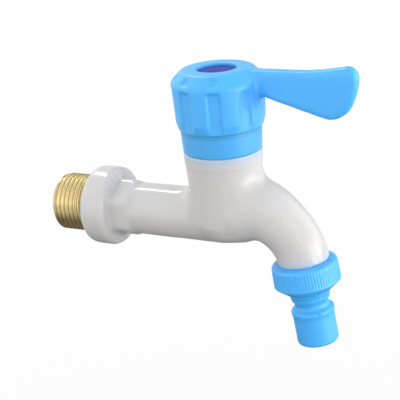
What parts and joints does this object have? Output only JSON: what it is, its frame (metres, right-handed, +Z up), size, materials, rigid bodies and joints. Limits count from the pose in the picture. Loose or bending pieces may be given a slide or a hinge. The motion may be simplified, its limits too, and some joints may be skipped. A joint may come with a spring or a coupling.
{
  "type": "bib_tap",
  "caption": "Plastic bib tap with a brass wall thread, quarter-turn lever handle, curved spout and a screwed-on hose nozzle",
  "frame": {"origin": "on the inlet's axis, in the plane of the collar's back face, where the brass thread leaves the white moulding", "axes": "+X from the wall towards the spout, +Z up along the valve's axis towards the handle, +Y completing the right-handed set"},
  "size_m": [0.1168, 0.0316, 0.0985],
  "materials": {
    "white_plastic": "moulded, glossy, slightly translucent",
    "blue_plastic": "moulded, satin to glossy",
    "index_plastic": "moulded, glossy",
    "brass": "turned, bare",
    "ceramic": "lapped ceramic",
    "cartridge_plastic": "moulded",
    "rubber": "moulded",
    "steel": "plain stainless"
  },
  "bodies": {
    "tap": {"tap_body": "white_plastic", "inlet_insert": "brass", "seat_seal": "rubber", "seal_support_ring": "steel", "fixed_disc": "ceramic", "cartridge_housing": "cartridge_plastic", "cartridge_seal_ring": "rubber", "bonnet_nut": "blue_plastic"},
    "handle": {"handle": "blue_plastic", "index_button": "index_plastic", "handle_screw": "steel", "spindle": "cartridge_plastic", "spindle_o_ring_lower": "rubber", "spindle_o_ring_upper": "rubber", "thrust_washer": "cartridge_plastic", "spindle_clip": "steel", "drive_disc": "ceramic"},
    "nozzle": {"hose_nozzle": "blue_plastic", "nozzle_washer": "rubber"},
    "nut": {"hose_nut": "blue_plastic"}
  },
  "joints": [
    {"name": "handle_turn", "type": "hinge", "parent": "tap", "child": "handle", "pos_m": [0.0532, 0, 0], "axis": [0, 0, 1], "range_deg": [0, 90]},
    {"name": "nozzle_drop", "type": "slide", "parent": "tap", "child": "nozzle", "axis": [0.1323, 0, -0.9912], "range_m": [0, 0.00469]},
    {"name": "nut_turn", "type": "hinge", "parent": "nozzle", "child": "nut", "pos_m": [0.08048, 0, -0.01277], "axis": [0.1323, 0, -0.9912], "range_deg": [0, 1260]}
  ],
  "couplings": [
    {"joint": "nozzle_drop", "follows": "nut_turn", "m_per_rad": 0.00021279}
  ]
}
